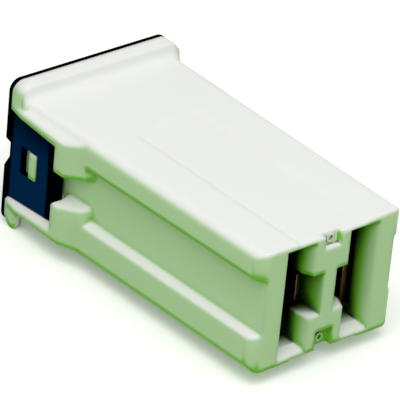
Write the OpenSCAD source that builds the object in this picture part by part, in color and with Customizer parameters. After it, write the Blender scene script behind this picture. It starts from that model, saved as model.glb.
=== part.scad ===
// Fusible link: a push-on cartridge fuse with two female blade sockets.
// It lies on its wide face: X runs from the cover to the open socket end,
// Y across the two sockets, Z up through the thickness.

/* [Overall] */
// Length from the cover's outer face to the open socket end
length = 30.4; // [28:0.1:36]
// Housing width at the open end
body_w = 14.5; // [14.2:0.1:16]
// Housing thickness at the open end
body_t = 10.5; // [10.2:0.1:12]
// Growth of each side from the open end to the flange
side_draft = 0.55; // [0.2:0.05:0.7]
// Growth of the top and of the bottom from the open end to the flange
face_draft = 0.05; // [0:0.01:0.15]
// Rounding of the four long edges
edge_r = 0.8; // [0.4:0.1:1.1]
// Rounding of the two upright corners at the open end
corner_r = 1.1; // [0.6:0.1:1.3]

/* [Flange] */
// Thickness of the flange along the fuse
flange_t = 1.4; // [1:0.1:2]
// How far the flange stands out beside the open end's outline
flange_side = 0.8; // [0.65:0.05:1.2]
// How far the flange stands above the top and below the bottom
flange_rise = 1.25; // [1:0.05:2]
// Corner radius of the flange outline
flange_r = 1.0; // [0.6:0.1:1.4]
// Rounding of the flange's front edge
flange_round = 0.25; // [0.1:0.05:0.4]
// Radius of the fillet where the flange meets the housing
fillet_r = 0.85; // [0.4:0.05:0.9]
// Thickness of the flange's lip below the housing
lip_t = 0.3; // [0.2:0.05:0.6]
// Length of the two feet beside that lip, along the fuse
foot_len = 1.35; // [0.8:0.1:1.5]
// Thickness of the feet across the fuse
foot_t = 0.5; // [0.3:0.05:0.8]

/* [Side shoulders] */
// How far a shoulder stands out beside the open end's outline
shoulder_side = 1.2; // [1.1:0.05:1.6]
// How far it stands out at the flange
shoulder_root = 0.82; // [0.65:0.01:1]
// How far it stands out just in front of the flange
shoulder_flare = 1.08; // [0.9:0.01:1.2]
// How far a shoulder's outer top edge lies below the housing's top, at its block
shoulder_drop = 0.87; // [0.7:0.01:1.2]
// Rise of that edge from the block to the flange
shoulder_rise = 0.27; // [0.1:0.01:0.3]
// How far a shoulder's underside lies above the housing's bottom
shoulder_lift = 0.3; // [0.1:0.05:0.6]
// Distance from the cover's outer face to the end of a shoulder's flat
shoulder_len = 7.7; // [7.3:0.1:8.2]
// Length of the ramp from a shoulder down to the side wall
ramp_len = 1.9; // [1.4:0.1:3]
// Rounding of a shoulder's outer top edge
shoulder_r = 0.2; // [0.1:0.05:0.5]
// Rounding of a shoulder's outer bottom edge
belly_r = 0.45; // [0.2:0.05:0.6]
// Height of the gap between the upper and the lower block
gap_h = 2.5; // [1.8:0.1:3.2]
// Rise of the lower block's top towards the wall
gap_rise = 0.65; // [0.2:0.05:0.9]
// How much higher the gap is at the foot of the ramps
gap_flare = 0.55; // [0:0.05:0.7]
// Rounding of the blocks' edges along the gap
block_r = 0.45; // [0.2:0.05:0.6]
// How far the rounding of a shoulder's crest reaches to each side
crest_r = 0.4; // [0.1:0.05:0.6]

/* [Side channels] */
// Depth of the channel along each side
channel_depth = 0.8; // [0.4:0.1:1]
// Height of the channel's upper edge above the middle
channel_top = 2.95; // [2.2:0.05:3.4]
// Depth of the channel's lower edge below the middle
channel_bottom = 2.35; // [1.8:0.05:3]
// Rise of the sloped ledge on the lower rail
ledge_rise = 0.45; // [0.2:0.05:0.8]

/* [Face panels] */
// Width of the shallow panel's floor on the top and on the bottom
panel_w = 6.6; // [5:0.1:8]
// Depth of the panels' floor
panel_depth = 0.18; // [0.1:0.01:0.25]
// Width of the step round a panel's floor
panel_step = 0.2; // [0.1:0.05:0.4]
// Width of the faint slope outside that step
panel_slope = 1.0; // [0.4:0.1:1.2]
// Depth of that slope at its foot
panel_dish = 0.06; // [0.02:0.01:0.08]
// Distance from the cover's outer face to the start of a panel's floor
panel_start = 10.2; // [9:0.1:12]

/* [Socket mouths] */
// Width of the blade that a socket takes
blade_w = 6.3; // [5.8:0.1:6.5]
// Thickness of the blade that a socket takes
blade_t = 0.8; // [0.6:0.05:0.9]
// Distance between the middles of the two sockets
socket_pitch = 6.4; // [6.3:0.05:6.8]
// Room for the contact in the slot, across the blade's thickness
slot_play_t = 1.4; // [1:0.05:1.6]
// Room beside the blade in the slot, across its width
slot_play_w = 2.6; // [1.5:0.1:2.8]
// Depth of the lead-in at a socket mouth
lead_in = 1.0; // [0.5:0.05:1.2]
// Widening of a mouth on each side, across the blade's thickness
lead_t = 0.4; // [0.2:0.05:0.5]
// Widening of a mouth at its top and bottom
lead_w = 0.45; // [0.2:0.05:0.5]
// Thickness of the wall with the guide slots
front_wall = 2.0; // [1.6:0.1:3.5]
// Thickness of the middle web between the sockets
web_t = 1.26; // [1:0.02:1.6]
// Height of the window beside the web, at the front
window_h = 3.8; // [3:0.1:4.4]
// Narrowing of that window behind its lead-in, on each edge
window_lead = 0.1; // [0.05:0.05:0.7]

/* [Gate notches] */
// Width of the notches in the divider's upper and lower end
notch_w = 1.75; // [1.2:0.05:2.2]
// Depth of the notches, back from the open end
notch_depth = 0.6; // [0.4:0.05:0.8]
// Height of the upper notch
notch_top_h = 1.3; // [1:0.1:2]
// Height of the lower notch
notch_bottom_h = 1.8; // [1:0.1:2.4]
// Outer diameter of the gate ring left in each notch
gate_d = 0.8; // [0.5:0.05:1]

/* [Inside] */
// Thickness of the side walls round the link room, at the open end's outline
room_wall = 1.35; // [1.2:0.05:1.6]
// Thickness of the link room's top and bottom
room_roof = 0.95; // [0.8:0.05:1.1]
// Distance from the cover's outer face to the room's floor
room_floor = 9.4; // [9:0.1:11]
// Height of the two terminal chambers
chamber_h = 7.5; // [7.4:0.1:8]
// Distance from the middle to a chamber's outer wall
chamber_reach = 5.0; // [4.7:0.1:5.2]

/* [Cover] */
// Thickness of the cover's end plate
plate_t = 0.45; // [0.35:0.05:0.8]
// Thickness of the side tabs
tab_t = 0.65; // [0.5:0.05:0.8]
// How far a tab's face lies inside the shoulder's face
tab_sink = 0.6; // [0.4:0.05:0.8]
// Distance from the cover's outer face to the tab's free end
tab_len = 6.55; // [6:0.05:6.8]
// Height of a tab at its root
tab_root_h = 8.0; // [7.4:0.1:8.3]
// Height of a tab at its free end
tab_end_h = 7.2; // [6:0.1:7.4]
// Fall of the sloped ledge below a tab, out to the shoulder's face
tab_ledge = 0.45; // [0.1:0.05:0.6]
// Clearance round a tab in its recess
tab_play = 0.1; // [0.05:0.01:0.2]
// Distance from the cover's outer face to the latch window
latch_start = 1.8; // [1.7:0.05:2.4]
// Length of the latch window
latch_len = 2.05; // [1.9:0.05:2.6]
// Height of the latch window
latch_h = 2.5; // [1.8:0.1:3]
// Depth of the notch in the plate's edge beside each window
edge_notch = 0.5; // [0.2:0.05:0.6]
// Length of the slope at each end of that notch
notch_slope = 0.6; // [0.2:0.1:0.8]
// How far the notch reaches along the fuse
notch_reach = 0.55; // [0.45:0.05:1]
// How far the locating skirt reaches into the room
skirt_len = 1.4; // [0.8:0.1:2]
// Thickness of the locating skirt
skirt_t = 0.6; // [0.4:0.05:0.8]
// Clearance between the skirt and the room's walls
skirt_play = 0.1; // [0.05:0.01:0.2]
// Height of the two posts that hold the fuse element on its seat
post_h = 3.0; // [2:0.1:4.5]
// Thickness of those posts
post_t = 1.0; // [0.6:0.1:1.4]
// Clearance between the posts and the element
post_play = 0.1; // [0.05:0.01:0.2]

/* [Fuse element] */
// Thickness of the stamped strip
strip_t = 0.5; // [0.4:0.05:0.6]
// Height of the contact leaves
leaf_h = 6.8; // [6.4:0.1:7]
// Height of the shoulders that seat on the room's floor
ear_h = 8.4; // [8:0.1:8.5]
// Length of those shoulders
ear_len = 1.1; // [0.8:0.1:1.6]
// Gap between the leaf tips and the front wall
tip_gap = 0.3; // [0.2:0.05:0.5]
// How far a tongue's lip reaches into the window beside the web
lip_reach = 0.1; // [0:0.1:1]
// Distance from the cover's outer face to the bridge
bridge_start = 3.3; // [2.8:0.1:4.2]
// Height of the bridge beside its neck
bridge_h = 4.6; // [3.6:0.1:5.5]
// Height of the fusing neck
neck_h = 1.6; // [1.2:0.1:2]
// Width of the neck across the fuse
neck_w = 2.6; // [2.2:0.1:3.4]
// Height of the spring tongue
tongue_h = 2.3; // [1.6:0.1:2.3]
// How far the tongue reaches into the blade's space
preload = 0.15; // [0.05:0.05:0.25]
// Outer size of the tin chip, along the fuse
chip_len = 1.2; // [1:0.1:1.8]
// Outer size of the tin chip, across the fuse
chip_w = 2.2; // [1.6:0.1:2.2]
// Outer height of the tin chip
chip_h = 2.6; // [2.2:0.1:3.2]

/* [Hidden] */
$fn = 48;
slab = 0.02;
over = 1;

// The flange and the housing shell behind the open end
flange_x = plate_t;
shell_x = plate_t + flange_t;
flange_w = body_w + 2 * flange_side;
flange_h = body_t + 2 * flange_rise;
draft_len = length - shell_x;
draft_angle = atan(side_draft / draft_len);

// The shoulders and their blocks
shoulder_w = body_w + 2 * shoulder_side;
ramp_end = shoulder_len + ramp_len;
crest_drop = shoulder_side / ramp_len * crest_r / 4;

// The sockets
slot_y = socket_pitch / 2;
slot_t = blade_t + slot_play_t;
slot_h = blade_w + slot_play_w;
wall_x = length - front_wall;
slot_inner = slot_y - slot_t / 2;

// The link room
room_w = body_w - 2 * room_wall;
room_h = body_t - 2 * room_roof;

// The tabs and their recesses
tab_face = shoulder_w / 2 - tab_sink;
tab_back = tab_face - tab_t;
recess_floor = tab_back - tab_play;
recess_end = tab_len + tab_play;
latch_end = latch_start + latch_len;

// The element
leaf_y = slot_y + blade_t / 2;
tongue_y = slot_y - blade_t / 2 + preload;
leaf_tip = wall_x - tip_gap;
tongue_root = room_floor + 2;
tongue_bend = 3;
tongue_rise = 4;
tongue_rest = web_t / 2 + 1.25;
crest_x = leaf_tip - tongue_bend;
lip_y = web_t / 2 + 0.9;

// Half of a size, which most outlines here are drawn about
function half(v) = v / 2;

// Half the housing's width at a distance x
function side_at(x) = half(body_w) + side_draft * (length - x) / draft_len;

// Half a tab's height at a distance x
function tab_half(x) = half(tab_root_h + (tab_end_h - tab_root_h) * x / tab_len);

// A rectangle about the origin with round corners
module round_rect(w, h, r) {
    square([w - 2 * r, h], center = true);
    square([w, h - 2 * r], center = true);
    for (y = [-1, 1], z = [-1, 1])
        translate([y * (half(w) - r), z * (half(h) - r)]) circle(r);
}

// An outline drawn in Y and Z, made solid from x0 to x1
module along_x(x0, x1) {
    translate([x0, 0, 0]) rotate([90, 0, 90]) linear_extrude(x1 - x0) children();
}

// An outline drawn in X and Z, made solid from y0 to y1
module along_y(y0, y1) {
    translate([0, y1, 0]) rotate([90, 0, 0]) linear_extrude(y1 - y0) children();
}

// An outline drawn in X and Y, made solid about the middle plane
module about_middle(h) {
    translate([0, 0, -half(h)]) linear_extrude(h) children();
}

// What a round of radius r leaves of the corner at the origin
module corner_rest(r) {
    difference() {
        translate([-slab, -slab]) square(r + slab);
        translate([r, r]) circle(r);
    }
}

// A copy on each side of the fuse
module both_sides() {
    children();
    mirror([0, 1, 0]) children();
}

// Places a node so that the fuse stands on the flange, centred over the origin
module placed() {
    translate([-half(length), 0, half(flange_h)]) children();
}

// The housing's section at a distance x, grown by an offset
module shell_section(x, grow = 0) {
    k = (length - x) / draft_len;
    translate([x, 0, 0]) rotate([90, 0, 90]) linear_extrude(slab)
        offset(r = edge_r + grow, $fn = 32)
            square([body_w + 2 * side_draft * k - 2 * edge_r,
                    body_t + 2 * face_draft * k - 2 * edge_r], center = true);
}

// The drafted outer shell with its round long edges
module shell() {
    front = length + over;
    intersection() {
        hull() {
            shell_section(flange_x + half(flange_t));
            shell_section(front);
        }
        about_middle(flange_h) plan_outline();
    }
}

// The plan of the shell, square at the flange and round at the open end
module plan_outline() {
    wide = body_w + 2 * side_draft + over;
    inner = half(body_w) - corner_r;
    translate([flange_x, -half(wide)]) square([length - corner_r - flange_x, wide]);
    translate([flange_x, -inner]) square([length - flange_x, 2 * inner]);
    for (y = [-inner, inner]) translate([length - corner_r, y]) circle(corner_r);
}

// The flange's thick rim, round along its front edge
module flange_rim() {
    hull() {
        along_x(flange_x, shell_x - flange_round) round_rect(flange_w, flange_h, flange_r);
        for (a = [30 : 30 : 90]) {
            x = shell_x - flange_round * (1 - sin(a));
            inset = 2 * flange_round * (1 - cos(a));
            along_x(x - slab, x) round_rect(flange_w - inset, flange_h - inset, flange_r);
        }
    }
}

// The hollow fillet between the rim and the housing
module flange_fillet() {
    intersection() {
        for (a = [90 : -30 : 30]) hull() {
            shell_section(shell_x - slab + fillet_r * (1 - sin(a)), fillet_r * (1 - cos(a)));
            shell_section(shell_x - slab + fillet_r * (1 - sin(a - 30)), fillet_r * (1 - cos(a - 30)));
        }
        along_x(shell_x - slab, shell_x + fillet_r) round_rect(flange_w, flange_h, flange_r);
    }
}

// The flange: thick round the top and the sides, a thin lip and two feet below
module flange() {
    foot_x = flange_x + lip_t - slab;
    along_x(flange_x, flange_x + lip_t) round_rect(flange_w, flange_h, flange_r);
    intersection() {
        union() {
            flange_rim();
            flange_fillet();
        }
        translate([flange_x, -half(flange_w), -half(body_t)])
            cube([flange_t + fillet_r, flange_w, flange_h]);
    }
    both_sides() along_y(half(flange_w) - foot_t, half(flange_w)) translate([foot_x, -half(flange_h)]) {
        translate([0, half(foot_len)]) square([foot_len, flange_rise]);
        translate([half(foot_len), half(foot_len)]) circle(d = foot_len);
    }
}

// A section through both shoulders: half its width, and how far it stays inside the round edge
module shoulder_section(x, reach, inside = 0) {
    top = half(body_t) - shoulder_drop + max(shoulder_rise * (shoulder_len - x) / shoulder_len, 0);
    crease = 33;
    crease_y = side_at(x) - edge_r * (1 - cos(crease)) - inside;
    crease_z = half(body_t) - edge_r * (1 - sin(crease)) - inside;
    for (s = [-1, 1]) translate([x, 0, 0]) rotate([90, 0, 90]) linear_extrude(slab) {
        translate([s * (reach - shoulder_r), top - shoulder_r]) circle(shoulder_r, $fn = 32);
        translate([s * (reach - belly_r), shoulder_lift + belly_r - half(body_t)])
            circle(belly_r, $fn = 32);
        translate([s * crease_y - half(slab), crease_z - slab]) square(slab);
    }
}

// Both shoulders, flaring to their blocks and ramped down to the channel's floor
module shoulders() {
    deep = channel_depth + 0.1;
    hull() {
        shoulder_section(flange_x + half(lip_t), half(body_w) + shoulder_root);
        shoulder_section(shell_x + flange_round, half(body_w) + shoulder_flare);
        for (v = [-1 : 0.5 : 1])
            shoulder_section(shoulder_len + v * crest_r,
                             half(shoulder_w) - crest_drop * (1 + v) * (1 + v));
        shoulder_section(ramp_end, side_at(ramp_end) - slab, slab);
        shoulder_section(ramp_end + half(deep), side_at(ramp_end) - deep, deep);
    }
}

// The gap between the upper and the lower block, with the blocks' round edges
module block_gap() {
    top = half(gap_h);
    out = half(shoulder_w);
    inner = half(body_w) - channel_depth;
    turn = [0 : 15 : 90];
    along_x(tab_len - over, ramp_end + over)
        polygon(concat([[inner - over, top]],
                       [for (a = turn) [out - block_r * (1 - sin(a)), top + block_r * (1 - cos(a))]],
                       [[out + over, top + block_r], [out + over, -top - block_r]],
                       [for (a = turn) [out - block_r * (1 - cos(a)), -top - block_r * (1 - sin(a))]],
                       [[inner, gap_rise - top], [inner - over, gap_rise - top]]));
    translate([tab_len - over, inner - over, -top])
        cube([recess_end + block_r - tab_len + over, out - inner + 2 * over, 2 * top]);
    along_y(inner, out + over) {
        polygon([[recess_end + block_r, 0], [ramp_end, 0], [ramp_end, top + gap_flare],
                 [recess_end + block_r, top]]);
        translate([recess_end, 0]) for (s = [-1, 1])
            scale([1, s]) translate([0, top]) corner_rest(block_r);
    }
}

// The recess that a tab lies in, with a sloped ledge along its lower edge
module tab_recess() {
    x0 = flange_x - over;
    root = tab_half(x0) + tab_play;
    end = tab_half(recess_end) + tab_play;
    out = half(shoulder_w) - tab_face;
    fall = atan((root - end) / (recess_end - x0));
    along_y(recess_floor, half(shoulder_w) + over)
        polygon([[x0, -root], [recess_end, -end], [recess_end, end], [x0, root]]);
    translate([recess_end, tab_face, -end]) rotate([0, -fall, 0]) along_x(x0 - recess_end, 0)
        polygon([[0, 0], [out + over, -tab_ledge * (out + over) / out], [out + over, over], [0, over]]);
}

// The nub that a tab's window snaps over: a ramp to the cover, a catch to the front
module latch_nub() {
    start = latch_start + tab_play;
    end = latch_end - tab_play;
    about_middle(latch_h - 2 * tab_play)
        polygon([[start, recess_floor - over], [start, recess_floor],
                 [start + half(latch_len), tab_face], [end, tab_face], [end, recess_floor - over]]);
}

// The channel along a side, with the sloped ledge on the lower rail
module side_channel() {
    floor_y = -channel_depth;
    translate([length, half(body_w), 0]) rotate([0, 0, -draft_angle])
        along_x(latch_end + over - length, over)
            polygon([[floor_y, channel_top], [over, channel_top],
                     [over, -channel_bottom - ledge_rise * over / channel_depth],
                     [floor_y, ledge_rise - channel_bottom]]);
}

// A panel's edge: how far out from its floor, and how deep
function panel_edge() = [[0, panel_depth], [panel_step, panel_dish],
                         [panel_step + panel_slope, 0],
                         [panel_step + 4 * panel_slope, -3 * panel_dish]];

// The shallow panel in the top face, stepped and sloped along three edges
module face_panel() {
    edge = panel_edge();
    top = half(body_t);
    x1 = length + over;
    intersection() {
        along_x(flange_x, x1)
            polygon([for (side = [1, -1], i = [0 : 3]) let (e = edge[side > 0 ? 3 - i : i])
                     [side * (half(panel_w) + e[0]), top - e[1]]]);
        along_y(-half(body_w), half(body_w))
            polygon(concat([for (e = edge) [panel_start - e[0], top - e[1]]],
                           [[x1, top - edge[3][1]], [x1, top - panel_depth]]));
    }
}

// One socket mouth: guide slot, lead-in and the window beside the web
module socket_mouth() {
    x0 = wall_x - over;
    x1 = length + over;
    knee = length - lead_in;
    t0 = half(slot_t);
    t1 = t0 + lead_t * (1 + over / lead_in);
    h0 = half(slot_h);
    h1 = h0 + lead_w * (1 + over / lead_in);
    w1 = half(window_h) + window_lead * over / lead_in;
    w0 = half(window_h) - window_lead;
    translate([x0, slot_inner, -h0]) cube([x1 - x0, slot_t, slot_h]);
    intersection() {
        about_middle(2 * h1)
            polygon([[knee, slot_y - t0], [x1, slot_y - t1], [x1, slot_y + t1], [knee, slot_y + t0]]);
        along_y(0, half(body_w))
            polygon([[knee, -h0], [x1, -h1], [x1, h1], [knee, h0]]);
    }
    along_y(half(web_t), slot_inner + half(slot_t))
        polygon([[x0, -w0], [knee, -w0], [x1, -w1], [x1, w1], [knee, w0], [x0, w0]]);
}

// The chamber that holds one terminal
module chamber() {
    translate([room_floor - over, half(web_t), -half(chamber_h)])
        cube([wall_x - room_floor + over, chamber_reach - half(web_t), chamber_h]);
}

// The room that the link lies in, open to the cover
module link_room() {
    translate([flange_x - over, -half(room_w), -half(room_h)])
        cube([room_floor - flange_x + over, room_w, room_h]);
}

// The notch in the divider's end and the ring that its gate left
module gate_notch(h) {
    translate([length - notch_depth, -half(notch_w), half(body_t) - h])
        cube([notch_depth + over, notch_w, h + over]);
}

module gate_ring(h) {
    ring_h = 0.15;
    ring_t = 0.2;
    translate([length - notch_depth, 0, half(body_t) - half(h)]) rotate([0, 90, 0]) difference() {
        cylinder(d = gate_d, h = ring_h);
        translate([0, 0, -over]) cylinder(d = gate_d - 2 * ring_t, h = 2 * over);
    }
}

module housing() {
    color([0.84, 0.91, 0.80]) placed() {
        difference() {
            union() {
                difference() {
                    shell();
                    both_sides() side_channel();
                }
                flange();
                difference() {
                    shoulders();
                    both_sides() block_gap();
                }
            }
            both_sides() {
                tab_recess();
                socket_mouth();
                chamber();
            }
            link_room();
            face_panel();
            mirror([0, 0, 1]) face_panel();
            gate_notch(notch_top_h);
            mirror([0, 0, 1]) gate_notch(notch_bottom_h);
        }
        intersection() {
            both_sides() latch_nub();
            along_x(0, length) square([shoulder_w, body_t], center = true);
        }
        gate_ring(notch_top_h);
        mirror([0, 0, 1]) gate_ring(notch_bottom_h);
    }
}

// A tab on the +Y side, with its latch window
module cover_tab() {
    difference() {
        along_y(tab_back, tab_face)
            polygon([[0, -tab_half(0)], [tab_len, -tab_half(tab_len)],
                     [tab_len, tab_half(tab_len)], [0, tab_half(0)]]);
        translate([latch_start, tab_back - over, -half(latch_h)])
            cube([latch_len, tab_t + 2 * over, latch_h]);
    }
}

// The notch in the plate's edge and the tab's root, sloped at both ends
module plate_notch() {
    along_x(-over, notch_reach) translate([half(flange_w), 0])
        polygon([[0, -half(latch_h)], [-edge_notch, notch_slope - half(latch_h)],
                 [-edge_notch, half(latch_h) - notch_slope], [0, half(latch_h)],
                 [over, half(latch_h)], [over, -half(latch_h)]]);
}

module cover() {
    skirt_w = room_w - 2 * skirt_play;
    skirt_h = room_h - 2 * skirt_play;
    color([0.03, 0.13, 0.30]) placed() {
        difference() {
            union() {
                along_x(0, plate_t) round_rect(flange_w, flange_h, flange_r);
                both_sides() cover_tab();
            }
            both_sides() plate_notch();
        }
        along_x(plate_t - slab, plate_t + skirt_len) difference() {
            square([skirt_w, skirt_h], center = true);
            square([skirt_w - 2 * skirt_t, skirt_h - 2 * skirt_t], center = true);
        }
        both_sides() translate([plate_t - slab, leaf_y + half(strip_t) - half(post_t), -half(post_h)])
            cube([bridge_start - post_play - plate_t + slab, post_t, post_h]);
    }
}

// A contact leaf on the +Y side, with the window that its tongue was cut from
module contact_leaf() {
    cut = half(tongue_h) + 0.3;
    difference() {
        union() {
            translate([bridge_start, leaf_y, -half(bridge_h)])
                cube([room_floor - bridge_start, strip_t, bridge_h]);
            translate([room_floor - ear_len, leaf_y, -half(ear_h)]) cube([ear_len, strip_t, ear_h]);
            translate([room_floor - slab, leaf_y, -half(leaf_h)])
                cube([leaf_tip - room_floor + slab, strip_t, leaf_h]);
        }
        translate([tongue_root, leaf_y - over, -cut])
            cube([crest_x - tongue_root, strip_t + 2 * over, 2 * cut]);
    }
}

// The spring tongue's plan: out of the leaf, along the web, over its crest, to its lip
function tongue_path() = [
    [tongue_root - 0.6, leaf_y + half(strip_t)], [tongue_root, leaf_y + half(strip_t)],
    [tongue_root + tongue_bend, tongue_rest], [crest_x - tongue_rise, tongue_rest],
    [crest_x, tongue_y - half(strip_t)], [wall_x + lip_reach, lip_y]];

// A point of a bent strip's face, set off by d to the left of its path's middle line
function strip_point(path, i, d) =
    let (a = path[max(i - 1, 0)], b = path[i], c = path[min(i + 1, len(path) - 1)],
         u = i == 0 ? (c - b) / norm(c - b) : (b - a) / norm(b - a),
         v = i == len(path) - 1 ? u : (c - b) / norm(c - b),
         side = [-u[1] - v[1], u[0] + v[0]])
    b + side * 2 * d / (side * side);

module tongue() {
    path = tongue_path();
    last = len(path) - 1;
    about_middle(tongue_h)
        polygon(concat([for (i = [0 : last]) strip_point(path, i, half(strip_t))],
                       [for (i = [last : -1 : 0]) strip_point(path, i, -half(strip_t))]));
}

// The bridge between the two leaves, narrowed to the neck that melts
module bridge() {
    reach = leaf_y + strip_t;
    shoulder_y = half(neck_w) + 0.8;
    translate([bridge_start, 0, 0]) along_x(0, strip_t)
        polygon([for (s = [-1, 1], p = [[reach, 1], [shoulder_y, 1], [half(neck_w), 0],
                                        [-half(neck_w), 0], [-shoulder_y, 1], [-reach, 1]])
                 [s * p[0], s * half(p[1] == 1 ? bridge_h : neck_h)]]);
}

module fuse_element() {
    color([0.78, 0.52, 0.30]) placed() {
        bridge();
        both_sides() {
            contact_leaf();
            tongue();
        }
    }
}

module tin_chip() {
    color([0.75, 0.76, 0.78]) placed() translate([bridge_start + half(strip_t), 0, 0])
        difference() {
            along_y(-half(chip_w), half(chip_w)) round_rect(chip_len, chip_h, 0.3);
            cube([strip_t, chip_w + over, neck_h], center = true);
        }
}

housing();
cover();
fuse_element();
tin_chip();
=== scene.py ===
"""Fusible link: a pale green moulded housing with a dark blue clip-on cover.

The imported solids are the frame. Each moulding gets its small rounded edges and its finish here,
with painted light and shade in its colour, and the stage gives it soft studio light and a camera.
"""
import math

import bmesh
import bpy
from mathutils import Matrix, Vector


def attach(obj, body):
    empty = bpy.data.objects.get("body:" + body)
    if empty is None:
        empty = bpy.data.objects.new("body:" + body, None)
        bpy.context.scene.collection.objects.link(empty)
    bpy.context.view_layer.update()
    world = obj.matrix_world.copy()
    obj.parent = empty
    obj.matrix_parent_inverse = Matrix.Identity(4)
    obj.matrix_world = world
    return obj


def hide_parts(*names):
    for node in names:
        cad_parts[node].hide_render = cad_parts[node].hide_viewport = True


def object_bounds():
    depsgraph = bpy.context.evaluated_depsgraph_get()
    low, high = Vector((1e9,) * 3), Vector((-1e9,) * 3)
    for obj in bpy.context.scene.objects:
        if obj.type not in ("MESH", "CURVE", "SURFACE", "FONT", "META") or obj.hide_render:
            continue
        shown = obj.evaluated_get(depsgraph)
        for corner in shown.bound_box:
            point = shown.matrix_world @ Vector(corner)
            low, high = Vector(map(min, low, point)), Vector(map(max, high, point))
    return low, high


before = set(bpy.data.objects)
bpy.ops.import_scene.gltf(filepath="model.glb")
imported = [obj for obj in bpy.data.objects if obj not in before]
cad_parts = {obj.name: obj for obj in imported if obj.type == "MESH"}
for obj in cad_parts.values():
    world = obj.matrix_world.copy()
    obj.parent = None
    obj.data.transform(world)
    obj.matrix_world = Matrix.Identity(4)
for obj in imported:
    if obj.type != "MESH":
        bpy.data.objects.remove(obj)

bl_info = {
    "name": "Fusible Link",
    "version": (1, 0, 0),
    "blender": (4, 5, 0),
    "location": "3D View > Sidebar > Fusible Link",
    "description": "Gives the fusible link its rounded edges, its finishes and a studio stage",
    "category": "Object",
}

BODY = "root"
MM = 0.001
CAD_BOX = [list(corner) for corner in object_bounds()]
LOW, HIGH = (Vector(corner) for corner in CAD_BOX)

# Copies of the CAD nodes
MERGE_DISTANCE = 0.025 * MM
FLAT_ANGLE = math.radians(0.05)    # faces that meet at less are one flat face
SHARP_ANGLE = math.radians(24)     # edges that turn by more are rounded
CREASED_ANGLE = math.radians(32)   # edges that turn by more keep a hard shade
EDGE_SEGMENTS = 3
FOOT_LOW = Vector((-5.65, 6.8, 7.7)) * MM   # space that holds the low corners of the upper
FOOT_HIGH = Vector((-5.1, 7.7, 7.8)) * MM   # blocks' ramps, on the side of +Y
FOOT_LIFT = 0.55 * MM                       # up to the slanted edge of the gap beside them

# Where the housing's painted light and shade change its colour
PAINTED_TOP_LIGHT = (0.1, 0.75)             # height of a face's normal, from no painted light to the full painted light of the top
PAINTED_RIM_LIGHT = (0.3, 0.7)          # painted light on the rim's front: the same for how far a face of the rim looks along X
RIM_BLEND = 0.1 * MM
CREASE_SHADE_OPENNESS = (0.6, 0.95)    # openness of a crease, where its painted shade is deepest and where it ends
UNDERSIDE_SHADE = ("NZ", -0.25, 0.0)   # edges that turn down take the painted crease shade
NOTCH_FOOT = 10.45 * MM          # height of the upper gate notch's floor
NOTCH_HALF = 0.83 * MM           # half the width of its back
NOTCH_BACK = 14.6 * MM           # place of its back along X
NOTCH_FRONT = 15.0 * MM          # place along X where its walls start
NOTCH_BLEND = 0.1 * MM
PAINTED_NOTCH_LIGHT = 0.8                 # share of the top's painted light that its back takes

# Where painted shade darkens the cover's colour
COVER_SHADE_REACH = 2 * MM             # how far the plastic round a point darkens it with painted shade
COVER_SOFT_EDGE = 0.1 * MM
PLATE_EDGE_SHADE = (-0.1 * MM, 0.3 * MM)     # painted shade: from dark to blue, along X from the plate's front
TIP_SHADE_BLEND = 0.4 * MM                   # painted shade: from dark to blue, behind the shaded tip
TAB_SHADE_FADE = (9 * MM, 2 * MM)            # painted shade and reflection: above the top, fully dark, and above the floor, fully blue
PLATE_BACK = ("NX", -0.5, -0.8)        # faces that look back are spared the painted shade

# Materials and stage
SHADE_SAMPLES = 24
EDGE_SAMPLES = 8
CLOUD_SCALE = 160.0
CLOUD_ROUGHNESS = 0.12           # how much the clouds change the roughness
ROLLED_SCALE = (600.0, 9000.0, 9000.0)
SPOT_SCALE = 420.0
SPOTS = (0.45, 0.75)             # noise where a spot of tarnish starts and where it is full
SPOT_STRENGTH = 0.55
SPOT_ROUGHNESS = 0.3
METAL_SHADE = (0.3, 0.65)        # painted shade: openness where the metal is black and where it is bright
FLOOR_HALF = 1.5
FLOOR_GLOW = 0.25
FLOOR_ROUGHNESS = 0.9
SKY_COLOUR = (0.90, 1.0, 0.84)
KEY_PLACE = Vector((0.10, -0.09, 0.30))   # from the middle of the part
KEY_SIZE = 0.3
KEY_COLOUR = (1.0, 0.95, 1.0)
SENSOR_WIDTH = 36.0              # in millimetres, as the camera takes it
CLIP_START, CLIP_END = 10 * MM, 10.0
WHITE = (1.0, 1.0, 1.0)
MIX_FIRST, MIX_SECOND, MIX_RESULT = 6, 7, 2   # the colour sockets of a Mix node


# Sizes and colours

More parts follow.
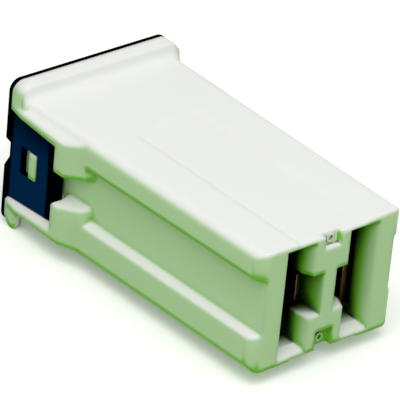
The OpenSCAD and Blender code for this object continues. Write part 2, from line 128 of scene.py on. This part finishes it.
class HousingSettings(bpy.types.PropertyGroup):
    """The housing's edges, its pale green plastic and the painted light and shade on its colour."""

    edge: bpy.props.FloatProperty(
        name="Edge Rounding",
        description="Largest radius of the housing's small edges, held lower by its shortest one",
        default=0.15 * MM, min=0.0, unit="LENGTH")
    # Painted light: a lit, near white copy of the plastic's colour for the faces that look up.
    top: bpy.props.FloatVectorProperty(
        name="Top Colour", description="Colour of the plastic where it looks up",
        default=(0.88, 0.885, 0.885), size=3, min=0.0, max=1.0, subtype="COLOR")
    # Painted shade: a shaded, greener copy of the plastic's colour for the sides.
    side: bpy.props.FloatVectorProperty(
        name="Side Colour", description="Colour of the plastic on the sides",
        default=(0.53, 0.73, 0.45), size=3, min=0.0, max=1.0, subtype="COLOR")
    # Painted shade in the creases.
    deep: bpy.props.FloatVectorProperty(
        name="Deep Colour", description="Colour that the plastic takes in its creases",
        default=(0.20, 0.58, 0.03), size=3, min=0.0, max=1.0, subtype="COLOR")
    # Painted shade deep inside the sockets.
    dark: bpy.props.FloatVectorProperty(
        name="Dark Colour", description="Colour deep inside the sockets",
        default=(0.004, 0.010, 0.002), size=3, min=0.0, max=1.0, subtype="COLOR")
    # Reach of the painted shade in the creases and deep inside the sockets.
    reach: bpy.props.FloatProperty(
        name="Painted Shade Reach", description="How far the plastic round a point deepens its colour",
        default=9 * MM, min=0.0, unit="LENGTH")
    # Width of the painted shade line along the creases.
    crease: bpy.props.FloatProperty(
        name="Crease Shade Width", description="How far a crease's deep line reaches",
        default=1.0 * MM, min=0.0, unit="LENGTH")
    # Length over which the rim's front takes painted light.
    rim: bpy.props.FloatProperty(
        name="Lit Rim Depth", description="Length from the cover to the end of the flange's fillet",
        default=2.2 * MM, min=0.0, unit="LENGTH")
    soft_edge: bpy.props.FloatProperty(
        name="Soft Edge", description="Width over which an edge shades round",
        default=0.6 * MM, min=0.0, unit="LENGTH")
    roughness: bpy.props.FloatProperty(
        name="Roughness", description="Roughness of the housing's skin",
        default=0.42, min=0.0, max=1.0, subtype="FACTOR")
    grain: bpy.props.FloatProperty(
        name="Grain Size", description="Size of the fine spark grain left by the mould",
        default=0.16 * MM, min=0.01 * MM, unit="LENGTH")


class CoverSettings(bpy.types.PropertyGroup):
    """The cover's edges, its dark blue plastic and the painted shade on it."""

    edge: bpy.props.FloatProperty(
        name="Edge Rounding", description="Radius of the cover's small edges",
        default=0.07 * MM, min=0.0, unit="LENGTH")
    colour: bpy.props.FloatVectorProperty(
        name="Colour", description="Colour of the cover's plastic",
        default=(0.0005, 0.023, 0.095), size=3, min=0.0, max=1.0, subtype="COLOR")
    # Painted shade in the cover's creases.
    deep: bpy.props.FloatVectorProperty(
        name="Deep Colour", description="Colour that the plastic takes in its creases",
        default=(0.0, 0.004, 0.020), size=3, min=0.0, max=1.0, subtype="COLOR")
    # Painted shade on the end of each tab.
    tip: bpy.props.FloatProperty(
        name="Shaded Tip", description="Length of the near black end of each tab",
        default=1.0 * MM, min=0.0, unit="LENGTH")
    roughness: bpy.props.FloatProperty(
        name="Roughness", description="Roughness of the cover's skin",
        default=0.35, min=0.0, max=1.0, subtype="FACTOR")
    grain: bpy.props.FloatProperty(
        name="Grain Size", description="Size of the faint ripple in the cover's skin",
        default=0.5 * MM, min=0.01 * MM, unit="LENGTH")


class MetalSettings(bpy.types.PropertyGroup):
    """The stamped element, the painted shade on its copper and the tin on its neck."""

    edge: bpy.props.FloatProperty(
        name="Edge Rounding", description="Radius of the stamped strip's edges",
        default=0.05 * MM, min=0.0, unit="LENGTH")
    copper: bpy.props.FloatVectorProperty(
        name="Copper", description="Colour of the copper alloy",
        default=(0.72, 0.36, 0.16), size=3, min=0.0, max=1.0, subtype="COLOR")
    # Reach of the painted shade that darkens the copper.
    reach: bpy.props.FloatProperty(
        name="Shade Reach", description="How far the metal looks round for the walls that shade it",
        default=9 * MM, min=0.0, unit="LENGTH")
    tin: bpy.props.FloatVectorProperty(
        name="Tin", description="Colour of the tin",
        default=(0.60, 0.60, 0.59), size=3, min=0.0, max=1.0, subtype="COLOR")


class StageSettings(bpy.types.PropertyGroup):
    """The floor, the lamps and the camera."""

    floor: bpy.props.FloatVectorProperty(
        name="Floor", description="Colour of the floor",
        default=(0.92, 0.92, 0.92), size=3, min=0.0, max=1.0, subtype="COLOR")
    bounce: bpy.props.FloatVectorProperty(
        name="Bounce", description="Colour of the floor for the light that it throws back",
        default=(0.45, 0.58, 0.34), size=3, min=0.0, max=1.0, subtype="COLOR")
    azimuth: bpy.props.FloatProperty(
        name="Azimuth", description="Side from which the camera looks, round from the front",
        default=math.radians(47.35), subtype="ANGLE")
    elevation: bpy.props.FloatProperty(
        name="Elevation", description="Height of the camera above the horizon",
        default=math.radians(29.85), subtype="ANGLE")
    roll: bpy.props.FloatProperty(
        name="Roll", description="Turn of the camera about its own line of sight",
        default=math.radians(5.68), subtype="ANGLE")
    distance: bpy.props.FloatProperty(
        name="Distance", description="Distance from the camera to the point that it looks at",
        default=309 * MM, unit="LENGTH")
    aim: bpy.props.FloatVectorProperty(
        name="Aim", description="Point that the camera looks at",
        default=(0.33 * MM, -0.58 * MM, 7.38 * MM), size=3, subtype="TRANSLATION")
    lens: bpy.props.FloatProperty(
        name="Focal Length",
        description="Focal length of the camera, in millimetres on a 36 mm sensor",
        default=352.3)
    key_power: bpy.props.FloatProperty(
        name="Key Power", description="Power of the lamp above the object, in watts",
        default=0.82, min=0.0)
    fill: bpy.props.FloatProperty(
        name="Fill", description="Strength of the light that comes from all round",
        default=0.42, min=0.0)


# Modelling

def lift_feet(shape):
    """Lifts the feet of the upper blocks' ramps to the slanted edge of the gap beside them."""
    feet = [vertex for vertex in shape.verts
            if all(low <= place <= high for low, place, high
                   in zip(FOOT_LOW, (vertex.co.x, abs(vertex.co.y), vertex.co.z), FOOT_HIGH))]
    bmesh.ops.translate(shape, verts=feet, vec=(0.0, 0.0, FOOT_LIFT))


def rounded_copy(node, name, width, reshape=None):
    """A copy of a CAD node, reshaped if need be, with flat faces whole and sharp edges rounded."""
    shape = bmesh.new()
    shape.from_mesh(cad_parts[node].data)
    if reshape:
        reshape(shape)
    bmesh.ops.remove_doubles(shape, verts=shape.verts, dist=MERGE_DISTANCE)
    bmesh.ops.dissolve_limit(shape, angle_limit=FLAT_ANGLE, verts=shape.verts, edges=shape.edges)
    sharp = [edge for edge in shape.edges
             if len(edge.link_faces) == 2 and edge.calc_face_angle() > SHARP_ANGLE]
    bmesh.ops.bevel(shape, geom=sharp, affect="EDGES", offset_type="OFFSET", offset=width,
                    segments=EDGE_SEGMENTS, profile=0.5, material=-1, clamp_overlap=True)
    bmesh.ops.triangulate(shape, faces=shape.faces)
    mesh = bpy.data.meshes.new(name)
    shape.to_mesh(mesh)
    shape.free()
    mesh.shade_smooth()
    mesh.set_sharp_from_angle(angle=CREASED_ANGLE)
    piece = bpy.data.objects.new(name, mesh)
    even = piece.modifiers.new("even_shading", "WEIGHTED_NORMAL")
    even.keep_sharp = True
    bpy.context.scene.collection.objects.link(piece)
    return piece


def span_of(node):
    """Where a CAD node starts and ends along X."""
    places = [vertex.co.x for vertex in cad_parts[node].data.vertices]
    return min(places), max(places)


def dressed(piece, node, material):
    """Puts a finished piece in a CAD node's place."""
    piece.data.materials.clear()
    piece.data.materials.append(material)
    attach(piece, BODY)
    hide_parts(node)


# Materials

class Nodes:
    """A few short calls for building a node tree."""

    def __init__(self, tree):
        self.tree = tree

    def add(self, kind, **values):
        """A new node with some of its values set."""
        node = self.tree.nodes.new(kind)
        for key, value in values.items():
            setattr(node, key, value)
        return node

    def link(self, source, target):
        """Links an output to an input."""
        self.tree.links.new(source, target)

    def math(self, operation, first, second=0.0):
        """A sum, product or the like of two outputs or numbers."""
        node = self.add("ShaderNodeMath", operation=operation)
        for socket, value in zip(node.inputs, (first, second)):
            if isinstance(value, float):
                socket.default_value = value
            else:
                self.link(value, socket)
        return node.outputs[0]

    def product(self, first, *others):
        """The product of several outputs or numbers."""
        for other in others:
            first = self.math("MULTIPLY", first, other)
        return first

    def step(self, value, start, end):
        """A smooth step of a value: 0 at start and 1 at end, which are outputs or numbers."""
        node = self.add("ShaderNodeMapRange", interpolation_type="SMOOTHSTEP")
        self.link(value, node.inputs["Value"])
        for label, limit in (("From Min", start), ("From Max", end)):
            if isinstance(limit, float):
                node.inputs[label].default_value = limit
            else:
                self.link(limit, node.inputs[label])
        return node.outputs["Result"]

    def blend(self, amount, first, second):
        """The first colour where the amount is 0, and the second where it is 1."""
        node = self.add("ShaderNodeMix", data_type="RGBA")
        self.link(amount, node.inputs["Factor"])
        self.link(first, node.inputs[MIX_FIRST])
        self.link(second, node.inputs[MIX_SECOND])
        return node.outputs[MIX_RESULT]

    def noise(self, place, scale, detail):
        """Noise at a place. The scale is an output or a number."""
        node = self.add("ShaderNodeTexNoise")
        self.link(place, node.inputs["Vector"])
        if isinstance(scale, float):
            node.inputs["Scale"].default_value = scale
        else:
            self.link(scale, node.inputs["Scale"])
        node.inputs["Detail"].default_value = detail
        return node.outputs["Fac"]

    def scaled(self, colour, amount):
        """A colour made brighter or darker by an output."""
        node = self.add("ShaderNodeVectorMath", operation="SCALE")
        self.link(colour, node.inputs[0])
        self.link(amount, node.inputs["Scale"])
        return node.outputs[0]


def effect_group(name, inputs, outputs):
    """An empty node group with named sockets: the group, its helper, its inputs and its outputs."""
    group = bpy.data.node_groups.new(name, "ShaderNodeTree")
    for label, kind, default in inputs:
        socket = group.interface.new_socket(label, in_out="INPUT", socket_type=kind)
        if default is not None:
            socket.default_value = default
    for label, kind in outputs:
        group.interface.new_socket(label, in_out="OUTPUT", socket_type=kind)
    nodes = Nodes(group)
    return (group, nodes, nodes.add("NodeGroupInput").outputs,
            nodes.add("NodeGroupOutput").inputs)


def moulded_skin_light_and_shade():
    """A moulded surface with painted light and shade: a painted lit top, painted shade deeper in
    its creases and dark deep inside; finely grained.
    """
    if "Moulded Skin Light And Shade" in bpy.data.node_groups:
        return bpy.data.node_groups["Moulded Skin Light And Shade"]
    group, nodes, given, result = effect_group(
        "Moulded Skin Light And Shade",
        [("Vector", "NodeSocketVector", None),
         ("Openness", "NodeSocketFloat", 1.0),
         ("Crease Openness", "NodeSocketFloat", 1.0),
         ("Painted Top Light", "NodeSocketFloat", 0.0),
         ("Top Colour", "NodeSocketColor", (0.8, 0.8, 0.8, 1.0)),
         ("Side Colour", "NodeSocketColor", (0.6, 0.6, 0.6, 1.0)),
         ("Deep Colour", "NodeSocketColor", (0.4, 0.4, 0.4, 1.0)),
         ("Dark Colour", "NodeSocketColor", (0.0, 0.0, 0.0, 1.0)),
         ("Deep Below", "NodeSocketFloat", 0.5),
         ("Deepest At", "NodeSocketFloat", 0.35),
         ("Dark Below", "NodeSocketFloat", 0.35),
         ("Darkest At", "NodeSocketFloat", 0.2),
         ("Roughness", "NodeSocketFloat", 0.4),
         ("Grain Size", "NodeSocketFloat", 0.2 * MM),
         ("Cloud", "NodeSocketFloat", 0.04)],
        [("Colour", "NodeSocketColor"), ("Roughness", "NodeSocketFloat"),
         ("Height", "NodeSocketFloat")])
    # Painted shade: the dark colour where little is open round a point.
    out_of_recess_shade = nodes.step(given["Openness"], given["Darkest At"], given["Dark Below"])
    # Painted light: faces that look up take the lit top colour.
    painted_light = nodes.product(given["Painted Top Light"], out_of_recess_shade)
    body = nodes.blend(painted_light, given["Side Colour"], given["Top Colour"])
    # Painted shade: the deep colour in the creases.
    out_of_crease_shade = nodes.product(
        nodes.step(given["Openness"], given["Deepest At"], given["Deep Below"]),
        nodes.step(given["Crease Openness"], *CREASE_SHADE_OPENNESS))
    plastic = nodes.blend(nodes.math("MAXIMUM", out_of_crease_shade, painted_light), given["Deep Colour"], body)
    shaded = nodes.blend(out_of_recess_shade, given["Dark Colour"], plastic)
    shift = nodes.math("SUBTRACT", nodes.noise(given["Vector"], CLOUD_SCALE, detail=2.0), 0.5)
    tint = nodes.math("ADD", nodes.product(shift, given["Cloud"]), 1.0)
    nodes.link(nodes.scaled(shaded, tint), result["Colour"])
    nodes.link(nodes.math("ADD", nodes.product(shift, CLOUD_ROUGHNESS), given["Roughness"]),
               result["Roughness"])
    fineness = nodes.math("DIVIDE", 1.0, given["Grain Size"])
    nodes.link(nodes.noise(given["Vector"], fineness, detail=3.0), result["Height"])
    return group


def rolled_strip_and_shade():
    """Rolled metal: fine lines along the strip, a little tarnish, and painted shade where it is
    closed in.
    """
    if "Rolled Strip And Shade" in bpy.data.node_groups:
        return bpy.data.node_groups["Rolled Strip And Shade"]
    group, nodes, given, result = effect_group(
        "Rolled Strip And Shade",
        [("Vector", "NodeSocketVector", None),
         ("Openness", "NodeSocketFloat", 1.0),
         ("Colour", "NodeSocketColor", (0.7, 0.4, 0.2, 1.0)),
         ("Tarnish", "NodeSocketColor", (0.2, 0.1, 0.05, 1.0)),
         ("Roughness", "NodeSocketFloat", 0.3)],
        [("Colour", "NodeSocketColor"), ("Roughness", "NodeSocketFloat"),
         ("Height", "NodeSocketFloat")])
    stretch = nodes.add("ShaderNodeMapping")
    stretch.inputs["Scale"].default_value = ROLLED_SCALE
    nodes.link(given["Vector"], stretch.inputs["Vector"])
    nodes.link(nodes.noise(stretch.outputs[0], 1.0, detail=4.0), result["Height"])
    spots = nodes.add("ShaderNodeMapRange")
    spots.inputs["From Min"].default_value, spots.inputs["From Max"].default_value = SPOTS
    spots.inputs["To Max"].default_value = SPOT_STRENGTH
    nodes.link(nodes.noise(given["Vector"], SPOT_SCALE, detail=5.0), spots.inputs["Value"])
    tarnished = nodes.blend(spots.outputs[0], given["Colour"], given["Tarnish"])
    # Painted shade: the metal goes black where it is closed in.
    nodes.link(nodes.scaled(tarnished, nodes.step(given["Openness"], *METAL_SHADE)),
               result["Colour"])
    rough = nodes.product(spots.outputs[0], SPOT_ROUGHNESS)
    nodes.link(nodes.math("ADD", rough, given["Roughness"]), result["Roughness"])
    return group


def finish_of(name, group, values, *, bump, bump_distance, **sockets):
    """A material: a surface group on Object coordinates, a bump and a Principled shader.

    The values go to the group's inputs, and the sockets are set on the shader itself.
    """
    material = bpy.data.materials.new(name)
    material.use_nodes = True
    nodes = Nodes(material.node_tree)
    shader = material.node_tree.nodes["Principled BSDF"]
    for label, value in sockets.items():
        shader.inputs[label.replace("_", " ")].default_value = value
    place = nodes.add("ShaderNodeTexCoord")
    surface = nodes.add("ShaderNodeGroup", node_tree=group)
    nodes.link(place.outputs["Object"], surface.inputs["Vector"])
    for label, value in values.items():
        surface.inputs[label].default_value = value
    relief = nodes.add("ShaderNodeBump")
    relief.inputs["Strength"].default_value = bump
    relief.inputs["Distance"].default_value = bump_distance
    nodes.link(surface.outputs["Height"], relief.inputs["Height"])
    nodes.link(surface.outputs["Colour"], shader.inputs["Base Color"])
    nodes.link(surface.outputs["Roughness"], shader.inputs["Roughness"])
    nodes.link(relief.outputs["Normal"], shader.inputs["Normal"])
    return material


def parts_of(material):
    """A material's node helper, its surface group, its coordinates and its bump."""
    nodes = Nodes(material.node_tree)
    kinds = {node.bl_idname: node for node in material.node_tree.nodes}
    return (nodes, kinds["ShaderNodeGroup"], kinds["ShaderNodeTexCoord"], kinds["ShaderNodeBump"])


def places_of(nodes, place, normal=None):
    """Each point's place along the axes, and how far the surface looks along them."""
    along, facing = (nodes.add("ShaderNodeSeparateXYZ") for _ in range(2))
    nodes.link(place.outputs["Object"], along.inputs[0])
    nodes.link(normal or place.outputs["Normal"], facing.inputs[0])
    return along.outputs, facing.outputs


def openness_to(material, socket, reach, alone=False, normal=None, bands=(), spared=None):
    """Tells the surface group how open each point is, as far as reach.

    With alone it looks at the piece itself only. Each band is an axis and two places along it, or
    the letter N and an axis for the way that a face looks: the surface counts as closed in at the
    first and as it is from the second on. Where the spared band is at its end, no band counts.
    """
    nodes, surface, place, _ = parts_of(material)
    around = nodes.add("ShaderNodeAmbientOcclusion", samples=SHADE_SAMPLES, only_local=alone)
    around.inputs["Distance"].default_value = reach
    along, facing = places_of(nodes, place, normal)
    value = {"X": along["X"], "Z": along["Z"], "NX": facing["X"], "NZ": facing["Z"]}
    openness = nodes.product(around.outputs["AO"],
                             *(nodes.step(value[axis], *band) for axis, *band in bands))
    if spared:
        axis, *band = spared
        free = nodes.product(around.outputs["AO"], nodes.step(value[axis], *band))
        openness = nodes.math("MAXIMUM", openness, free)
    nodes.link(openness, surface.inputs[socket])


def painted_light_to(material, normal, front):
    """Paints light on the faces that look up, through the surface group.

    It paints light on those of the rim that look to +X too, and most of the back of the upper gate
    notch.
    """
    nodes, surface, place, _ = parts_of(material)
    along, facing = places_of(nodes, place, normal)
    # Painted light on the rim's front, as light thrown from the top.
    rim = nodes.product(nodes.step(along["X"], front + RIM_BLEND, front),
                        nodes.step(facing["X"], *PAINTED_RIM_LIGHT))
    # Painted light on most of the back of the upper gate notch.
    notch = nodes.product(
        nodes.step(along["Z"], NOTCH_FOOT - NOTCH_BLEND, NOTCH_FOOT),
        nodes.step(nodes.math("ABSOLUTE", along["Y"]), NOTCH_HALF, NOTCH_HALF - NOTCH_BLEND / 2),
        nodes.step(along["X"], NOTCH_FRONT, NOTCH_FRONT - NOTCH_BLEND),
        nodes.step(along["X"], NOTCH_BACK - 2 * NOTCH_BLEND, NOTCH_BACK - NOTCH_BLEND),
        PAINTED_NOTCH_LIGHT)
    painted_light = nodes.math("MAXIMUM", nodes.step(facing["Z"], *PAINTED_TOP_LIGHT), rim)
    nodes.link(nodes.math("MAXIMUM", painted_light, notch), surface.inputs["Painted Top Light"])


def soften(material, radius):
    """Makes the material's edges shade round, and returns the round normal in object space."""
    nodes, _, _, relief = parts_of(material)
    rounding = nodes.add("ShaderNodeBevel", samples=EDGE_SAMPLES)
    rounding.inputs["Radius"].default_value = radius
    nodes.link(rounding.outputs["Normal"], relief.inputs["Normal"])
    local = nodes.add("ShaderNodeVectorTransform", vector_type="NORMAL",
                      convert_from="WORLD", convert_to="OBJECT")
    nodes.link(rounding.outputs["Normal"], local.inputs[0])
    return local.outputs[0]


def opaque(colour):
    """A colour with full alpha, as a node socket takes it."""
    return (*colour, 1.0)


# Operators

class FUSIBLE_OT_housing(bpy.types.Operator):
    """Round the housing's edges and give it its pale green plastic, with painted light and shade"""

    bl_idname = "fusible_link.housing"
    bl_label = "Housing"

    def execute(self, context):
        look = context.scene.fusible_housing
        plastic = finish_of(
            "housing_plastic", moulded_skin_light_and_shade(),
            {"Top Colour": opaque(look.top), "Side Colour": opaque(look.side),
             "Deep Colour": opaque(look.deep), "Dark Colour": opaque(look.dark),
             "Deep Below": 0.60, "Deepest At": 0.38, "Dark Below": 0.4, "Darkest At": 0.22,
             "Roughness": look.roughness, "Grain Size": look.grain, "Cloud": 0.03},
            bump=0.2, bump_distance=0.004 * MM, Specular_IOR_Level=0.3,
            Subsurface_Weight=0.25, Subsurface_Radius=(0.8, 1.2, 0.7), Subsurface_Scale=0.3 * MM)
        normal = soften(plastic, look.soft_edge)
        # Painted shade in recesses and creases, and painted light on the faces that look up.
        openness_to(plastic, "Openness", look.reach, alone=True)
        openness_to(plastic, "Crease Openness", look.crease, alone=True, normal=normal,
                    bands=[UNDERSIDE_SHADE])
        painted_light_to(plastic, normal, span_of("housing")[0] + look.rim)
        piece = rounded_copy("housing", "housing_moulding", look.edge, reshape=lift_feet)
        dressed(piece, "housing", plastic)
        return {"FINISHED"}


class FUSIBLE_OT_cover(bpy.types.Operator):
    """Round the cover's edges and give it its dark blue plastic, with painted shade"""

    bl_idname = "fusible_link.cover"
    bl_label = "Cover"

    def execute(self, context):
        look = context.scene.fusible_cover
        plate, tip = span_of("housing")[0], span_of("cover")[1]
        plastic = finish_of(
            "cover_plastic", moulded_skin_light_and_shade(),
            {"Side Colour": opaque(look.colour), "Deep Colour": opaque(look.deep),
             "Dark Colour": opaque((0.0, 0.0, 0.001)), "Deep Below": 0.9, "Deepest At": 0.5,
             "Dark Below": 0.5, "Darkest At": 0.3, "Roughness": look.roughness,
             "Grain Size": look.grain, "Cloud": 0.1},
            bump=0.15, bump_distance=0.01 * MM, Specular_IOR_Level=0.0)
        # Painted shade: darker in creases, near the plate's front, at each tab's tip and towards
        # the tabs' top.
        openness_to(plastic, "Openness", COVER_SHADE_REACH,
                    bands=[("X", plate + PLATE_EDGE_SHADE[0], plate + PLATE_EDGE_SHADE[1]),
                           ("X", tip - look.tip, tip - look.tip - TIP_SHADE_BLEND),
                           ("Z", HIGH.z + TAB_SHADE_FADE[0], LOW.z + TAB_SHADE_FADE[1])],
                    spared=PLATE_BACK)
        soften(plastic, COVER_SOFT_EDGE)
        piece = rounded_copy("cover", "cover_moulding", look.edge)
        dressed(piece, "cover", plastic)
        return {"FINISHED"}


class FUSIBLE_OT_element(bpy.types.Operator):
    """Finish the stamped element, with painted shade on its copper, and the tin on its neck"""

    bl_idname = "fusible_link.element"
    bl_label = "Fuse Element"

    def execute(self, context):
        look = context.scene.fusible_metal
        copper = finish_of(
            "copper_alloy", rolled_strip_and_shade(),
            {"Colour": opaque(look.copper), "Tarnish": opaque((0.30, 0.13, 0.06)),
             "Roughness": 0.26},
            bump=0.3, bump_distance=0.004 * MM, Metallic=1.0)
        # Painted shade: the copper goes black where it is closed in.
        openness_to(copper, "Openness", look.reach)
        tin = finish_of(
            "tin", rolled_strip_and_shade(),
            {"Colour": opaque(look.tin), "Tarnish": opaque((0.34, 0.34, 0.34)),
             "Roughness": 0.38},
            bump=0.4, bump_distance=0.01 * MM, Metallic=1.0)
        strip = rounded_copy("fuse_element", "element_strip", look.edge)
        dressed(strip, "fuse_element", copper)
        chip = rounded_copy("tin_chip", "tin_crimp", look.edge)
        dressed(chip, "tin_chip", tin)
        return {"FINISHED"}


class FUSIBLE_OT_stage(bpy.types.Operator):
    """Set up the floor, the lamps and the camera"""

    bl_idname = "fusible_link.stage"
    bl_label = "Stage"

    def execute(self, context):
        stage = context.scene.fusible_stage
        context.scene.view_settings.view_transform = "Standard"
        make_floor(stage)
        make_world(stage)
        make_lamps(stage)
        make_camera(stage)
        return {"FINISHED"}


def seen_as_white(nodes):
    """1 for the rays by which the background is seen: camera, glossy and transmission."""
    path = nodes.add("ShaderNodeLightPath").outputs
    straight = nodes.math("MAXIMUM", path["Is Camera Ray"], path["Is Transmission Ray"])
    return nodes.math("MAXIMUM", straight, path["Is Glossy Ray"])


def make_floor(stage):
    """A wide pale floor that keeps the object's shadow."""
    shape = bmesh.new()
    bmesh.ops.create_grid(shape, x_segments=1, y_segments=1, size=FLOOR_HALF)
    mesh = bpy.data.meshes.new("floor")
    shape.to_mesh(mesh)
    shape.free()
    floor = bpy.data.objects.new("floor", mesh)
    bpy.context.scene.collection.objects.link(floor)
    material = bpy.data.materials.new("pale_floor")
    material.use_nodes = True
    shader = material.node_tree.nodes["Principled BSDF"]
    shader.inputs["Roughness"].default_value = FLOOR_ROUGHNESS
    shader.inputs["Emission Color"].default_value = opaque(WHITE)
    nodes = Nodes(material.node_tree)
    white = seen_as_white(nodes)
    colour = nodes.add("ShaderNodeMix", data_type="RGBA")
    nodes.link(white, colour.inputs["Factor"])
    colour.inputs[MIX_FIRST].default_value = opaque(stage.bounce)
    colour.inputs[MIX_SECOND].default_value = opaque(stage.floor)
    nodes.link(colour.outputs[MIX_RESULT], shader.inputs["Base Color"])
    nodes.link(nodes.product(white, FLOOR_GLOW), shader.inputs["Emission Strength"])
    floor.data.materials.append(material)


def make_world(stage):
    """A white background, and a soft light from all round."""
    world = bpy.data.worlds.new("studio")
    bpy.context.scene.world = world
    world.use_nodes = True
    nodes = Nodes(world.node_tree)
    background = world.node_tree.nodes["Background"]
    background.inputs["Color"].default_value = opaque(SKY_COLOUR)
    strength = nodes.add("ShaderNodeMix", data_type="FLOAT")
    nodes.link(seen_as_white(nodes), strength.inputs["Factor"])
    strength.inputs["A"].default_value = stage.fill
    strength.inputs["B"].default_value = 1.0
    nodes.link(strength.outputs["Result"], background.inputs["Strength"])


def area_lamp(name, place, target, size, power, colour):
    """A square soft box at a place, turned to a target."""
    light = bpy.data.lights.new(name, "AREA")
    light.shape = "SQUARE"
    light.size = size
    light.energy = power
    light.color = colour
    lamp = bpy.data.objects.new(name, light)
    lamp.location = place
    lamp.rotation_mode = "QUATERNION"
    lamp.rotation_quaternion = (Vector(target) - Vector(place)).to_track_quat("-Z", "Y")
    bpy.context.scene.collection.objects.link(lamp)


def make_lamps(stage):
    """A broad lamp high on the camera's side, which leaves the sides in half light."""
    middle = (LOW + HIGH) / 2
    area_lamp("key", middle + KEY_PLACE, middle, KEY_SIZE, stage.key_power, KEY_COLOUR)


def make_camera(stage):
    """The camera at the photograph's viewing angle."""
    camera = bpy.data.objects.new("camera", bpy.data.cameras.new("camera"))
    bpy.context.scene.collection.objects.link(camera)
    bpy.context.scene.camera = camera
    turn, rise = stage.azimuth, stage.elevation
    back = Vector((math.sin(turn) * math.cos(rise), -math.cos(turn) * math.cos(rise),
                   math.sin(rise)))
    upright = (-back).to_track_quat("-Z", "Y").to_matrix().to_4x4()
    camera.matrix_world = (Matrix.Translation(Vector(stage.aim) + back * stage.distance)
                           @ upright @ Matrix.Rotation(stage.roll, 4, "Z"))
    camera.data.sensor_width = SENSOR_WIDTH
    camera.data.lens = stage.lens
    camera.data.clip_start = CLIP_START
    camera.data.clip_end = CLIP_END


class FUSIBLE_PT_panel(bpy.types.Panel):
    """The steps that dress the fusible link, in order."""

    bl_idname = "FUSIBLE_PT_panel"
    bl_label = "Fusible Link"
    bl_space_type = "VIEW_3D"
    bl_region_type = "UI"
    bl_category = "Fusible Link"

    def draw(self, context):
        for operator in OPERATORS:
            self.layout.operator(operator.bl_idname)


SETTINGS = {"fusible_housing": HousingSettings, "fusible_cover": CoverSettings,
            "fusible_metal": MetalSettings, "fusible_stage": StageSettings}
OPERATORS = (FUSIBLE_OT_housing, FUSIBLE_OT_cover, FUSIBLE_OT_element, FUSIBLE_OT_stage)


def register():
    for cls in (*SETTINGS.values(), *OPERATORS, FUSIBLE_PT_panel):
        bpy.utils.register_class(cls)
    for name, cls in SETTINGS.items():
        setattr(bpy.types.Scene, name, bpy.props.PointerProperty(type=cls))


def unregister():
    for name in SETTINGS:
        delattr(bpy.types.Scene, name)
    for cls in reversed((*SETTINGS.values(), *OPERATORS, FUSIBLE_PT_panel)):
        bpy.utils.unregister_class(cls)


def main():
    """Dresses the object and sets the stage."""
    register()
    bpy.ops.fusible_link.housing()
    bpy.ops.fusible_link.cover()
    bpy.ops.fusible_link.element()
    bpy.ops.fusible_link.stage()


if __name__ == "__main__":
    main()
